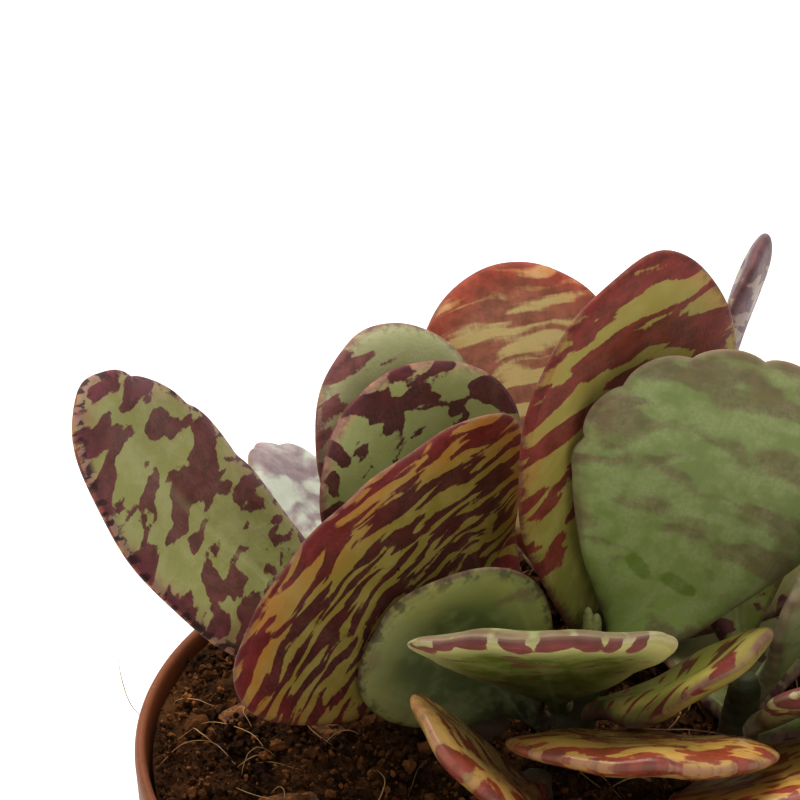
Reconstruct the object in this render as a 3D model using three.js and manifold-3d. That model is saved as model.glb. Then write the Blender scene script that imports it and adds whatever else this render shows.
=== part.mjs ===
// A potted, scallop-leaved succulent: fleshy blotched leaves on five short stems in a thin nursery pot.
// Millimetres, +Z up. The origin is the middle of the pot's flat base and the viewer stands at -Y.
import * as THREE from "three";
import { mergeVertices } from "three/addons/utils/BufferGeometryUtils.js";
import Module from "manifold-3d";

const wasm = await Module();
wasm.setup();

// Pot: one thin injection-moulded shell with a deep lip and round drain holes.
const RIM_RADIUS = 42.5;
const POT_HEIGHT = 72;
const BASE_RADIUS = 30;
const LIP_DEPTH = 13;
const LIP_STEP = 3.4;
const LIP_DRAFT = 0.7;
const WALL = 1.2;
const FLOOR = 1.6;
const DRAIN_HOLES = 6;
const DRAIN_RADIUS = 3.2;
const DRAIN_CIRCLE = 19;

// Soil: a plug of crumbly potting mix with a lumpy top, a little lower round the stems.
const SOIL_BELOW_RIM = 2.6;
const SOIL_DIP = 0.8;
const SOIL_BANK = 0.9;
const SOIL_LUMP = 0.35;

// Stems stand this deep in the soil.
const STEM_DEPTH = 11;

// Leaves: the bare stalk's share of the length, and its width.
const STALK = 0.12;
const STALK_WIDTH = 2.6;

// A row of teeth fades in and out over this length of the margin.
const TOOTH_FADE = 4;

// Neighbours keep this clearance, so each piece stays its own body.
const GAP = 0.3;

// How finely the round shapes are faceted.
const POT_SIDES = 60;
const SOIL_SIDES = 40;
const STEM_SIDES = 14;
const BUD_SIDES = 10;
const HOLE_SIDES = 20;
const PLAIN_ROWS = 31;
const SCALLOPED_ROWS = 57;
const LEAF_RINGS = [0, 0.55, 0.88, 1];

const group = new THREE.Group();
group.name = "potted_kalanchoe";

function add(name, geometry, color, roughness) {
  const mesh = new THREE.Mesh(geometry, new THREE.MeshStandardMaterial({ color, roughness, metalness: 0 }));
  mesh.name = name;
  group.add(mesh);
}

const radians = (angle) => (angle * Math.PI) / 180;

// Goes from 0 to 1 with level ends.
function ease(a) {
  const t = Math.min(1, Math.max(0, a));
  return t * t * (3 - 2 * t);
}

function toSolid(geometry) {
  const bare = new THREE.BufferGeometry();
  const source = geometry.index ? geometry.toNonIndexed() : geometry;
  bare.setAttribute("position", source.getAttribute("position"));
  const merged = mergeVertices(bare, 1e-4);
  const vertProperties = merged.attributes.position.array;
  const triVerts = new Uint32Array(merged.index.array);
  return new wasm.Manifold(new wasm.Mesh({ numProp: 3, vertProperties, triVerts }));
}

function toGeometry(solid) {
  const mesh = solid.getMesh();
  const geometry = new THREE.BufferGeometry();
  geometry.setAttribute("position", new THREE.BufferAttribute(mesh.vertProperties, 3));
  geometry.setIndex(new THREE.BufferAttribute(mesh.triVerts, 1));
  geometry.computeVertexNormals();
  return geometry;
}

// Triangles gathered as points, leaving out any that has shrunk to a line.
class Skin {
  points = [];

  triangle(a, b, c) {
    const flat = a.distanceTo(b) < 1e-6 || b.distanceTo(c) < 1e-6 || c.distanceTo(a) < 1e-6;
    if (!flat) this.points.push(a, b, c);
  }

  quad(a, b, c, d) {
    this.triangle(a, b, c);
    this.triangle(a, c, d);
  }

  geometry() {
    return new THREE.BufferGeometry().setFromPoints(this.points);
  }
}

// A level ring of points.
function ring(x, y, z, radius, sides) {
  return Array.from({ length: sides }, (_, i) => {
    const a = (2 * Math.PI * i) / sides;
    return new THREE.Vector3(x + radius * Math.cos(a), y + radius * Math.sin(a), z);
  });
}

// A closed form through a stack of rings, from the lowest up, with flat ends.
function stack(rings) {
  const skin = new Skin();
  const sides = rings[0].length;
  const middle = (points) =>
    points.reduce((sum, p) => sum.add(p), new THREE.Vector3()).divideScalar(points.length);
  const low = rings[0];
  const high = rings[rings.length - 1];
  for (let i = 0; i < sides; i++) {
    const j = (i + 1) % sides;
    skin.triangle(middle(low), low[j], low[i]);
    skin.triangle(middle(high), high[i], high[j]);
    for (let r = 0; r < rings.length - 1; r++) {
      skin.quad(rings[r][i], rings[r][j], rings[r + 1][j], rings[r + 1][i]);
    }
  }
  return skin.geometry();
}

// Pot shell, turned as one closed profile, then drilled through its floor.
const LIP_FOOT = POT_HEIGHT - LIP_DEPTH;
const NECK_RADIUS = RIM_RADIUS - LIP_STEP;
const outerWall = [
  [BASE_RADIUS - 0.8, 0],
  [BASE_RADIUS, 0.8],
  [NECK_RADIUS, LIP_FOOT],
  [RIM_RADIUS - LIP_DRAFT - 0.3, LIP_FOOT + 0.5],
  [RIM_RADIUS - LIP_DRAFT, LIP_FOOT + 1.2],
  [RIM_RADIUS, POT_HEIGHT - 0.7],
  [RIM_RADIUS - 0.25, POT_HEIGHT - 0.15],
];
const roundedRim = [
  [RIM_RADIUS - WALL / 2, POT_HEIGHT],
  [RIM_RADIUS - WALL + 0.2, POT_HEIGHT - 0.2],
];
const innerWall = [
  [RIM_RADIUS - WALL, POT_HEIGHT - 0.8],
  [RIM_RADIUS - LIP_DRAFT - WALL, LIP_FOOT + 1.6],
  [NECK_RADIUS - WALL, LIP_FOOT + 0.4],
  [BASE_RADIUS - WALL, FLOOR + 0.8],
  [BASE_RADIUS - WALL - 0.8, FLOOR],
];
const potProfile = [[0, 0], ...outerWall, ...roundedRim, ...innerWall, [0, FLOOR]];
const potShell = new THREE.LatheGeometry(
  potProfile.map(([r, z]) => new THREE.Vector2(r, z)),
  POT_SIDES,
);
potShell.rotateX(Math.PI / 2);
let pot = toSolid(potShell);
for (let i = 0; i < DRAIN_HOLES; i++) {
  const a = (2 * Math.PI * (i + 0.5)) / DRAIN_HOLES;
  const x = DRAIN_CIRCLE * Math.cos(a);
  const y = DRAIN_CIRCLE * Math.sin(a);
  const hole = [-1, FLOOR + 1].map((z) => ring(x, y, z, DRAIN_RADIUS, HOLE_SIDES));
  pot = pot.subtract(toSolid(stack(hole)));
}
add("pot", toGeometry(pot), 0xb0603c, 0.55);

// Stems: short green shoots that lean a little above the soil and run straight down below it.
// Each has its middle at the soil and its top, with heights measured from the rim, and its radii there.
const stems = {
  centre: { soil: [-1.6, 0.2, -4], top: [0.7, -1.2, 10.2], wide: 2.7, narrow: 1.8 },
  left: { soil: [-8.6, 4.2, -4], top: [-9.4, 4.2, 7.5], wide: 2.3, narrow: 1.7 },
  back: { soil: [1.8, 12.6, -4], top: [2.6, 13.0, 8], wide: 2.4, narrow: 1.7 },
  right: { soil: [14.5, -1.5, -4], top: [15.5, -1.5, 6.5], wide: 2.2, narrow: 1.6 },
  front: { soil: [-4.3, -7.4, -4], top: [-4.5, -8.0, -0.2], wide: 1.6, narrow: 1.4 },
};

function stemShape({ soil, top, wide, narrow }, grow) {
  const foot = ring(soil[0], soil[1], POT_HEIGHT + soil[2] - STEM_DEPTH - grow, wide + grow, STEM_SIDES);
  const shoot = [
    [0, wide],
    [0.45, (wide + narrow) / 2],
    [0.9, narrow],
    [1, narrow * 0.55],
  ].map(([t, radius]) => {
    const [x, y, z] = soil.map((low, k) => low + (top[k] - low) * t);
    const lift = t === 1 ? grow : 0;
    return ring(x, y, POT_HEIGHT + z + lift, radius + grow, STEM_SIDES);
  });
  return stack([foot, ...shoot]);
}

// Each stem is also kept a clearance larger, to cut the leaves that meet it and its hole in the soil.
const stemRoom = {};
for (const [name, stem] of Object.entries(stems)) {
  stemRoom[name] = toSolid(stemShape(stem, GAP));
  add("stem_" + name, stemShape(stem, 0), 0x8a9a4a, 0.6);
}

// Bud: two tiny leaves pressed together on the tip of the middle stem, one a little shorter.
const BUD_FOOT = [0.75, -1.5, 10.5];
const BUD_HEIGHT = 3.4;
const BUD_RADIUS = 0.6;
const BUD_APART = 0.35;

function budLeaf(side) {
  const [x, y, z] = BUD_FOOT;
  const height = BUD_HEIGHT * (side > 0 ? 0.8 : 1);
  const rings = [
    [0, 0.6],
    [0.3, 1],
    [0.7, 0.85],
    [0.92, 0.5],
    [1, 0.2],
  ].map(([t, swell]) => {
    const middle = x + side * BUD_APART * (0.7 + 0.5 * t);
    return ring(middle, y, POT_HEIGHT + z + height * t, BUD_RADIUS * swell, BUD_SIDES);
  });
  return toSolid(stack(rings));
}

add("bud", toGeometry(budLeaf(-1).add(budLeaf(1))), 0x8f9a66, 0.7);

// Leaf: a thick obovate blade that narrows to a short stalk. In a leaf's form,
//   root is where it leaves its stem, with the height measured from the rim,
//   azimuth is its heading seen from above, rise its first slope and bend how much it steepens by the tip,
//   roll is the twist about its own midrib, and cup how deep the upper face is hollowed,
//   widest moves the broadest place towards the tip, and blunt below 0.5 squares the blade,
//   scallop is the depth of the round teeth on the margin and lobe the width of one tooth,
//   shift moves the teeth along the margin, and toothed is the stretch that has them, from the tip.
function leafSolid(form) {
  const { root, azimuth, rise, bend = 0, roll = 0, length, width } = form;
  const { cup = 0.1, thick = 2.4, widest = 1.7, blunt = 0.5 } = form;
  const { scallop = 0, lobe = 6.5, shift = 0, toothed = [-99, 99] } = form;
  const heading = radians(azimuth);
  const slope = radians(rise);
  const turn = bend === 0 ? 1e-4 : radians(bend);
  const ahead = new THREE.Vector3(Math.cos(heading), Math.sin(heading), 0);
  const side = new THREE.Vector3(-Math.sin(heading), Math.cos(heading), 0);
  const foot = new THREE.Vector3(root[0], root[1], POT_HEIGHT + root[2]);

  // A point on the blade's middle sheet: u along the midrib from 0 to 1, y across it.
  function sheet(u, y) {
    const climb = slope + turn * u;
    const out = (length * (Math.sin(climb) - Math.sin(slope))) / turn;
    const up = (length * (Math.cos(slope) - Math.cos(climb))) / turn;
    const twist = radians(roll) * ease(u / 0.35);
    const face = ahead.clone().multiplyScalar(-Math.sin(climb)).setZ(Math.cos(climb));
    const across = side.clone().multiplyScalar(Math.cos(twist)).addScaledVector(face, -Math.sin(twist));
    const over = face.multiplyScalar(Math.cos(twist)).addScaledVector(side, Math.sin(twist));
    const point = foot.clone().addScaledVector(ahead, out).addScaledVector(across, y);
    point.z += up;
    return point.addScaledVector(over, (2 * cup * y * y) / width);
  }

  function halfWidth(u) {
    const t = Math.max(0, (u - STALK) / (1 - STALK));
    const blade = (width / 2) * Math.max(0, Math.sin(Math.PI * t ** widest)) ** blunt;
    const stalk = (STALK_WIDTH / 2) ** 2 * (1 - ease(t / 0.5));
    return Math.sqrt(blade * blade + stalk);
  }

  // The margin runs from the root up one side, round the tip and down the other.
  const rows = scallop > 0 ? SCALLOPED_ROWS : PLAIN_ROWS;
  const tip = (rows - 1) / 2;
  const plain = Array.from({ length: rows }, (_, i) => {
    const u = Math.sin((Math.PI / 2) * (1 - Math.abs(i - tip) / tip));
    const y = i === tip ? 0 : halfWidth(u) * Math.sign(tip - i);
    return new THREE.Vector2(u * length, y);
  });
  const steps = plain.map((p, i) => {
    const before = plain[Math.max(0, i - 1)];
    const after = plain[Math.min(rows - 1, i + 1)];
    const span = i === 0 || i === rows - 1 ? 1 : 2;
    return after.clone().sub(before).divideScalar(span);
  });
  const walked = [];
  for (const step of steps) {
    walked.push((walked.at(-1) ?? 0) + step.length());
  }
  const margin = plain.map((p, i) => {
    const away = walked[i] - walked[tip];
    const tooth = Math.abs(Math.cos((Math.PI * (away - shift)) / lobe)) ** 0.6 - 0.6;
    const row = ease((away - toothed[0]) / TOOTH_FADE) * ease((toothed[1] - away) / TOOTH_FADE);
    const push = scallop * tooth * row * ease((p.x / length - 0.3) / 0.2);
    const step = steps[i].clone().normalize();
    return { u: (p.x - step.y * push) / length, y: p.y + step.x * push, plainU: p.x / length };
  });

  // A row of points from the midrib to the margin, on the upper face (1) or the under face (-1).
  function faceRow({ u, y, plainU }, face) {
    return LEAF_RINGS.map((r) => {
      const spine = plainU * (1 - ((0.26 * width) / length) * plainU ** 4);
      const along = spine * (1 - r) + u * r;
      const small = 1e-3;
      const forward = sheet(along + small, y * r).sub(sheet(along - small, y * r));
      const sideways = sheet(along, y * r + small).sub(sheet(along, y * r - small));
      const normal = forward.cross(sideways).normalize();
      const edgeRound = Math.sqrt(Math.max(0, 1 - r ** 3.5));
      const rootTaper = 0.95 - 0.15 * (1 - ease(along / 0.3));
      return sheet(along, y * r).addScaledVector(normal, (face * thick * edgeRound * rootTaper) / 2);
    });
  }

  const upper = margin.map((place) => faceRow(place, 1));
  const under = margin.map((place) => faceRow(place, -1));
  const skin = new Skin();
  const end = rows - 1;
  for (let j = 0; j < LEAF_RINGS.length - 1; j++) {
    for (let i = 0; i < end; i++) {
      skin.quad(upper[i][j], upper[i + 1][j], upper[i + 1][j + 1], upper[i][j + 1]);
      skin.quad(under[i][j], under[i][j + 1], under[i + 1][j + 1], under[i + 1][j]);
    }
    skin.quad(upper[0][j], upper[0][j + 1], under[0][j + 1], under[0][j]);
    skin.quad(upper[end][j], under[end][j], under[end][j + 1], upper[end][j + 1]);
  }
  return toSolid(skin.geometry());
}

// The stalk is trimmed where it meets its stem, and only the blade side is kept.
function leaf(name, stem, form, color) {
  const trimmed = leafSolid(form).subtract(stemRoom[stem]);
  const pieces = trimmed.decompose().sort((a, b) => b.volume() - a.volume());
  add("leaf_" + name, toGeometry(pieces[0]), color, 0.5);
}

const GREEN = 0x8f9e5c;
const GLAUCOUS = 0x7f9a70;
const YELLOW = 0xb59a4a;
const RED = 0xa8553a;

// Left shoot: the far leaf that reaches over the rim, three behind it and the broad one before them.
leaf("left_outer", "left", {
  root: [-10.4, 5.2, -1.5], azimuth: 194, rise: 32, bend: 29.5, roll: 28, length: 54, width: 22.9,
  cup: 0.08, widest: 1.55, blunt: 0.53, scallop: 0.65, lobe: 8.4, shift: 4.8, toothed: [4, 31],
}, GREEN);
leaf("left_low", "left", {
  root: [-9.2, 8.0, -1.2], azimuth: 139.5, rise: 25, bend: 14, roll: -27, length: 34, width: 23,
  scallop: 0.6, lobe: 6,
}, GLAUCOUS);
leaf("left_back", "left", {
  root: [-9.4, 6.0, 0.8], azimuth: 143, rise: 62, bend: 12, roll: 3, length: 37, width: 23.4, cup: 0.12,
}, GREEN);
leaf("left_upper", "left", {
  root: [-8.2, 4.6, 4.2], azimuth: 158, rise: 63, bend: 12, roll: 24, length: 31, width: 26,
  widest: 1.55,
}, GREEN);
leaf("left_broad", "left", {
  root: [-8.9, 3.0, 3.9], azimuth: 214, rise: 49, bend: 16, roll: -93, length: 28.3, width: 37.2,
  cup: 0.08, thick: 2.4, widest: 1.4,
}, YELLOW);

// Back shoot: two tall leaves and two low ones.
leaf("back_tall", "back", {
  root: [1.2, 13.8, 1.6], azimuth: 113, rise: 49, bend: 16, roll: -14, length: 38.5, width: 26,
  cup: 0.05,
}, RED);
leaf("back_right_tall", "back", {
  root: [4.0, 13.8, 3.0], azimuth: 44, rise: 54, bend: 13, roll: 54, length: 41.6, width: 21.5,
}, GLAUCOUS);
leaf("back_low", "back", {
  root: [2.2, 13.6, -0.6], azimuth: 86, rise: 17, bend: 14, length: 34, width: 25,
}, GREEN);
leaf("back_right_low", "back", {
  root: [3.8, 12.4, 0.2], azimuth: 14, rise: 26, bend: 10, length: 33, width: 22,
}, GREEN);

// Middle stem: pairs of leaves, each pair turned from the one below it.
leaf("centre_tall", "centre", {
  root: [-1.0, 2.2, 3.8], azimuth: 184, rise: 97, bend: 6, roll: 62, length: 45, width: 24,
  cup: 0.08, widest: 1.3, blunt: 0.55,
}, RED);
leaf("centre_right", "centre", {
  root: [1.1, -1.0, 5.6], azimuth: -4, rise: 61, bend: 15, roll: -96, length: 37, width: 26,
  cup: 0.07, widest: 1.63, blunt: 0.45, scallop: 1.0, lobe: 7.0, shift: -2.5, toothed: [-25, 14],
}, GLAUCOUS);
leaf("centre_front", "centre", {
  root: [-2.2, -3.4, 4.5], azimuth: 260, rise: 46, bend: -7, roll: -6, length: 28.5, width: 23.6,
  cup: 0.08, thick: 2.5, scallop: 0.4, lobe: 5.5,
}, GREEN);
leaf("centre_front_right", "centre", {
  root: [0.2, -1.2, 2.5], azimuth: 316, rise: 26, bend: 21, roll: -8, length: 24.5, width: 15.5,
  cup: 0.07,
}, YELLOW);
leaf("centre_front_left", "centre", {
  root: [-2.9, 0.0, -0.3], azimuth: 207, rise: 49, roll: -75, length: 24, width: 19.6,
  cup: -0.1, widest: 1.55,
}, GLAUCOUS);
leaf("centre_low_front", "centre", {
  root: [-0.6, -1.4, -1.5], azimuth: 285, rise: 35, bend: -15, roll: 9, length: 31, width: 24.8,
  cup: 0.04, thick: 3,
}, YELLOW);

// Front stub: one low leaf, old and turning yellow.
leaf("front_low", "front", {
  root: [-4.6, -9.0, -1.7], azimuth: 243, rise: 37.5, roll: 31, length: 22.5, width: 18,
  cup: 0.07, thick: 2.6,
}, YELLOW);

// Right shoot: low old leaves and younger upright ones.
leaf("right_old", "right", {
  root: [14.3, -2.4, -1.5], azimuth: 284, rise: 22, roll: -12, length: 24, width: 24, thick: 3,
}, RED);
leaf("right_front", "right", {
  root: [15.6, -2.0, 1.0], azimuth: 316, rise: 41, roll: 4, length: 23, width: 20,
}, GREEN);
leaf("right_upper", "right", {
  root: [15.4, -1.0, 2.6], azimuth: 2, rise: 58, bend: 8, roll: 36, length: 27, width: 18,
  cup: 0.12, scallop: 0.8,
}, GLAUCOUS);
leaf("right_back", "right", {
  root: [15.1, 0.8, 4.1], azimuth: 96, rise: 58, bend: 6, length: 26, width: 15.5,
}, GREEN);
leaf("right_low", "right", {
  root: [15.8, -1.2, -1.0], azimuth: 8, rise: 12, bend: 14, length: 31, width: 22,
}, GREEN);
leaf("right_back_low", "right", {
  root: [15.0, -0.2, -1.4], azimuth: 86, rise: 3, bend: 8, length: 23, width: 17,
}, GREEN);

// Height of the soil's top: small lumps, a dip round the stems and a bank towards the back left.
function soilHeight(x, y) {
  const r = Math.hypot(x, y);
  const broad = Math.sin(0.55 * x + 1.3) * Math.cos(0.61 * y - 0.4);
  const narrow = 0.6 * Math.sin(0.9 * x - 0.7 * y + 2.1);
  const calm = 1 - 0.5 * ease((r - 30) / 10);
  const dip = SOIL_DIP * (1 - ease(r / 26));
  const bank = SOIL_BANK * ease((0.6 * y - 0.8 * x - 8) / 30);
  return POT_HEIGHT - SOIL_BELOW_RIM - dip + bank + SOIL_LUMP * (broad + narrow) * calm;
}

// The soil fills the pot's inner wall, and its top is a fan of rings out to the wall.
const SOIL_RADIUS = RIM_RADIUS - WALL - 0.2 - GAP;
const soilTopRings = [1, 0.92, 0.82, 0.71, 0.6, 0.49, 0.38, 0.27, 0.16, 0.06];
const soilWall = innerWall.slice(1).reverse();
const soilRings = soilWall.map(([r, z]) => ring(0, 0, z + GAP, r - GAP, SOIL_SIDES));
for (const share of soilTopRings) {
  const level = ring(0, 0, 0, SOIL_RADIUS * share, SOIL_SIDES);
  soilRings.push(level.map((p) => p.setZ(soilHeight(p.x, p.y))));
}
let soil = toSolid(stack(soilRings));
for (const room of Object.values(stemRoom)) {
  soil = soil.subtract(room);
}
add("soil", toGeometry(soil), 0x4a3322, 0.95);

export default group;
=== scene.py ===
# A potted scallop-leaved succulent, dressed over its solid model: a thin nursery pot, loose potting mix,
# five short stems and twenty-two thick, blotched leaves. Metres, +Z up, and the viewer stands at -Y.
import math

import bpy
import numpy as np
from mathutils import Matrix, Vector, noise


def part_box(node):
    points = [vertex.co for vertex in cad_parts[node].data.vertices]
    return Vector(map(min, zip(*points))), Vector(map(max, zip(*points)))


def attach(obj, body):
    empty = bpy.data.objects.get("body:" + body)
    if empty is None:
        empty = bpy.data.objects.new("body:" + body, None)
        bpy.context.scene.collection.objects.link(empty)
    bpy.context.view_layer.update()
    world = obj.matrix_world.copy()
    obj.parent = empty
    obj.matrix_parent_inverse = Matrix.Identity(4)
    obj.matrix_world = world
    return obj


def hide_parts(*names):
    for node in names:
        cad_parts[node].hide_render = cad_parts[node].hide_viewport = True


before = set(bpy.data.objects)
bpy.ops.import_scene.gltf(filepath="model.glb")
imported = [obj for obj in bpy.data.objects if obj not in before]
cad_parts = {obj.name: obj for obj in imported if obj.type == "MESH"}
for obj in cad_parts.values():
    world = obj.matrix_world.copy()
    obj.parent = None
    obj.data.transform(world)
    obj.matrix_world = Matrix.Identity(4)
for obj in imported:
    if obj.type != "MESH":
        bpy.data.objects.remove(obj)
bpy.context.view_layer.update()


# Nursery pot. One thin shell of terracotta-coloured plastic, injection moulded with a deep stiff lip, so
# that pots stack, and six round drain holes in its floor. Its skin is plain, faintly scuffed and dusty
# towards the rim.
MM = 0.001
_, pot_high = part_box("pot")
RIM_RADIUS = pot_high.x
POT_HEIGHT = pot_high.z
BASE_RADIUS = 30 * MM
LIP_FOOT = POT_HEIGHT - 13 * MM
NECK_RADIUS = RIM_RADIUS - 3.4 * MM
LIP_DRAFT = 0.7 * MM
WALL = 1.2 * MM
FLOOR = 1.6 * MM
DRAIN_HOLES = 6
DRAIN_RADIUS = 3.2 * MM
DRAIN_CIRCLE = 19 * MM
CORNER = 0.45 * MM
CORNER_STEPS = 4
FOOT_CHAMFER = 0.8 * MM
POT_SIDES = 288
DRILL_SIDES = 48
POT_HARD_ANGLE = 50


def soften_corners(line):
    """The same line with a short curve in place of each corner."""
    soft = [line[0]]
    for before, corner, after in zip(line, line[1:], line[2:]):
        away = [before - corner, after - corner]
        start, end = [corner + d * min(0.4, CORNER / np.linalg.norm(d)) for d in away]
        for t in np.linspace(0, 1, CORNER_STEPS):
            soft.append(start * (1 - t) ** 2 + corner * 2 * t * (1 - t) + end * t * t)
    return np.array([*soft, line[-1]])


def turned(line, sides):
    """Points and faces of a closed form turned about the Z axis from a line that starts and ends on it."""
    angles = 2 * math.pi * np.arange(sides) / sides
    around = np.stack([np.cos(angles), np.sin(angles)], axis=1)
    radii, heights = line[1:-1, 0], line[1:-1, 1]
    rings = np.concatenate(
        [
            radii[:, None, None] * around[None],
            np.broadcast_to(heights[:, None, None], (len(radii), sides, 1)),
        ],
        axis=2,
    )
    ends = [[0, 0, line[0, 1]], [0, 0, line[-1, 1]]]
    points = np.concatenate([rings.reshape(-1, 3), ends])
    low, high = len(points) - 2, len(points) - 1
    faces = []
    for i in range(sides):
        j = (i + 1) % sides
        faces.append([low, j, i])
        for r in range(len(radii) - 1):
            faces.append([r * sides + i, r * sides + j, (r + 1) * sides + j, (r + 1) * sides + i])
        last = (len(radii) - 1) * sides
        faces.append([last + i, last + j, high])
    return points, faces


def new_piece(name, points, faces, sharp=None):
    """A smooth-shaded mesh object, with hard edges where faces meet above the angle sharp, in degrees."""
    mesh = bpy.data.meshes.new(name)
    corners = [len(face) for face in faces]
    mesh.vertices.add(len(points))
    mesh.vertices.foreach_set("co", np.asarray(points, np.float32).ravel())
    mesh.loops.add(sum(corners))
    mesh.loops.foreach_set("vertex_index", np.concatenate([np.asarray(f, np.int32) for f in faces]))
    mesh.polygons.add(len(corners))
    mesh.polygons.foreach_set("loop_start", np.cumsum([0, *corners[:-1]]).astype(np.int32))
    mesh.polygons.foreach_set("use_smooth", np.ones(len(corners), bool))
    mesh.update(calc_edges=True)
    if sharp is not None:
        mesh.set_sharp_from_angle(angle=math.radians(sharp))
    piece = bpy.data.objects.new(name, mesh)
    bpy.context.scene.collection.objects.link(piece)
    return piece


def join(points, faces, more_points, more_faces):
    """Adds a form's points and faces to the lists that a mesh is made from."""
    faces.extend([[k + len(points) for k in face] for face in more_faces])
    points.extend(np.asarray(more_points).tolist())


def drilled(piece, cutter):
    """The piece with the cutter's volume taken out of it."""
    drill = piece.modifiers.new("drill", "BOOLEAN")
    drill.object = cutter
    drill.operation = "DIFFERENCE"
    bpy.context.view_layer.update()
    done = bpy.data.meshes.new_from_object(piece.evaluated_get(bpy.context.evaluated_depsgraph_get()))
    piece.modifiers.clear()
    piece.data = done
    bpy.data.objects.remove(cutter)
    done.polygons.foreach_set("use_smooth", np.ones(len(done.polygons), bool))
    done.set_sharp_from_angle(angle=math.radians(POT_HARD_ANGLE))
    return piece


def new_finish(name):
    """A material with only its output, and the tree that its nodes go into."""
    finish = bpy.data.materials.new(name)
    finish.use_nodes = True
    finish.node_tree.nodes.clear()
    return finish, finish.node_tree


def add(tree, kind, **settings):
    """A node. A setting with a capital fills or links the socket of that name, and others are its options."""
    made = tree.nodes.new("ShaderNode" + kind)
    for name, value in settings.items():
        if not name[0].isupper():
            setattr(made, name, value)
    for name, value in settings.items():
        if name[0].isupper():
            fill(tree, made.inputs[name.replace("_", " ")], value)
    return made


def fill(tree, socket, value):
    """Links a socket to another node's output, or gives it a plain value."""
    if isinstance(value, bpy.types.NodeSocket):
        tree.links.new(value, socket)
    else:
        socket.default_value = value


def maths(tree, operation, *values, kind="Math", **settings):
    """The result of a sum on numbers or outputs."""
    made = add(tree, kind, operation=operation, **settings)
    for socket, value in zip(made.inputs, values):
        fill(tree, socket, value)
    return made.outputs[1 if operation == "LENGTH" else 0]


def vectors(tree, operation, *values, **settings):
    """The result of a sum on vectors."""
    return maths(tree, operation, *values, kind="VectorMath", **settings)


def blend(tree, share, first, second, how="MIX"):
    """A colour that goes from first to second as share goes from 0 to 1."""
    made = add(tree, "Mix", data_type="RGBA", blend_type=how)
    for index, value in ((0, share), (6, first), (7, second)):
        fill(tree, made.inputs[index], value)
    return made.outputs[2]


def between(tree, value, low, high, to_low=0.0, to_high=1.0):
    """Goes smoothly from to_low to to_high as value goes from low to high."""
    made = add(tree, "MapRange", interpolation_type="SMOOTHSTEP", Value=value)
    for name, number in (("From Min", low), ("From Max", high), ("To Min", to_low), ("To Max", to_high)):
        fill(tree, made.inputs[name], number)
    return made.outputs[0]


def grain(tree, place, scale, detail=3.0, roughness=0.55, stretch=(1, 1, 1)):
    """Soft random grey, about 0.5, whose lumps are 1/scale metres apart before they are stretched."""
    spot = vectors(tree, "MULTIPLY", place, [scale / s for s in stretch])
    made = add(tree, "TexNoise", Vector=spot, Scale=1.0, Detail=detail, Roughness=roughness)
    return made.outputs["Fac"]


def tint(red, green, blue):
    """A colour given as it looks on a screen, 0 to 255, in the shader's own linear values."""
    shares = [c / 255 for c in (red, green, blue)]
    return (*[s / 12.92 if s < 0.0404 else ((s + 0.055) / 1.055) ** 2.4 for s in shares], 1.0)


def surface(tree, color, bump=None, depth=0.0, **settings):
    """Adds the finish's shader and output, with a relief of the given depth in metres."""
    shader = add(tree, "BsdfPrincipled", Base_Color=color, **settings)
    if bump is not None:
        relief = add(tree, "Bump", Height=bump, Distance=depth, Strength=1.0)
        tree.links.new(relief.outputs[0], shader.inputs["Normal"])
    output = add(tree, "OutputMaterial")
    tree.links.new(shader.outputs[0], output.inputs["Surface"])


outer_wall = [
    [BASE_RADIUS - FOOT_CHAMFER, 0],
    [BASE_RADIUS, FOOT_CHAMFER],
    [NECK_RADIUS, LIP_FOOT],
    [RIM_RADIUS - LIP_DRAFT - 0.3 * MM, LIP_FOOT + 0.5 * MM],
    [RIM_RADIUS - LIP_DRAFT, LIP_FOOT + 1.2 * MM],
    [RIM_RADIUS, POT_HEIGHT - 0.7 * MM],
    [RIM_RADIUS - 0.25 * MM, POT_HEIGHT - 0.15 * MM],
]
rounded_rim = [
    [RIM_RADIUS - WALL / 2, POT_HEIGHT],
    [RIM_RADIUS - WALL + 0.2 * MM, POT_HEIGHT - 0.2 * MM],
]
inner_wall = [
    [RIM_RADIUS - WALL, POT_HEIGHT - 0.8 * MM],
    [RIM_RADIUS - LIP_DRAFT - WALL, LIP_FOOT + 1.6 * MM],
    [NECK_RADIUS - WALL, LIP_FOOT + 0.4 * MM],
    [BASE_RADIUS - WALL, FLOOR + FOOT_CHAMFER],
    [BASE_RADIUS - WALL - FOOT_CHAMFER, FLOOR],
]
pot_line = np.array([[0, 0], *outer_wall, *rounded_rim, *inner_wall, [0, FLOOR]])
drill_line = np.array([[0, -MM], [DRAIN_RADIUS, -MM], [DRAIN_RADIUS, FLOOR + MM], [0, FLOOR + MM]])
points, faces = turned(drill_line, DRILL_SIDES)
drill_points = []
drill_faces = []
for i in range(DRAIN_HOLES):
    turn = 2 * math.pi * (i + 0.5) / DRAIN_HOLES
    middle = DRAIN_CIRCLE * np.array([math.cos(turn), math.sin(turn), 0])
    join(drill_points, drill_faces, points + middle, faces)
pot_shell = drilled(
    new_piece("pot_shell", *turned(soften_corners(pot_line), POT_SIDES)),
    new_piece("drain_drill", drill_points, drill_faces),
)

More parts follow.
